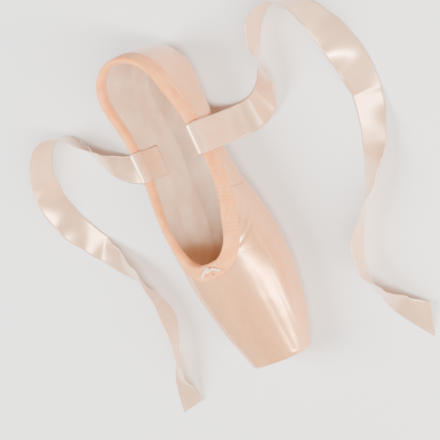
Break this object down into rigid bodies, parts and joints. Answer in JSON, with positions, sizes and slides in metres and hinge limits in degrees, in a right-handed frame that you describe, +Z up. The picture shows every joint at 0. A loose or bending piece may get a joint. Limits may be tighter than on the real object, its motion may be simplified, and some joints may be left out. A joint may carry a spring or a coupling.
{
  "type": "pointe shoe",
  "caption": "Satin pointe shoe with a stiff box and flat platform, pleated toe underside, leather outsole, bound collar with a drawstring knot, and loose ankle ribbons.",
  "frame": {"origin": "on the floor, under the middle of the shoe's length and width, ribbons not counted", "axes": "+X towards the toe, +Y towards the shoe's left side, +Z up"},
  "size_m": [0.2513, 0.3007, 0.0583],
  "materials": {
    "satin": "glossy peach-pink satin over a stiffened lining",
    "sole_leather": "matt buffed leather, scored under the ball",
    "lining": "plain cream cotton",
    "casing": "darker peach tape, matt",
    "drawstring": "pale twisted cotton",
    "ribbon_satin": "pale cream-peach satin ribbon"
  },
  "bodies": {
    "root": {"upper": "satin", "outsole": "sole_leather", "insole": "lining", "collar_casing": "casing", "drawstring_knot": "drawstring", "drawstring_end_left": "drawstring", "drawstring_end_right": "drawstring", "ribbon_left": "ribbon_satin", "ribbon_right": "ribbon_satin"}
  },
  "joints": []
}
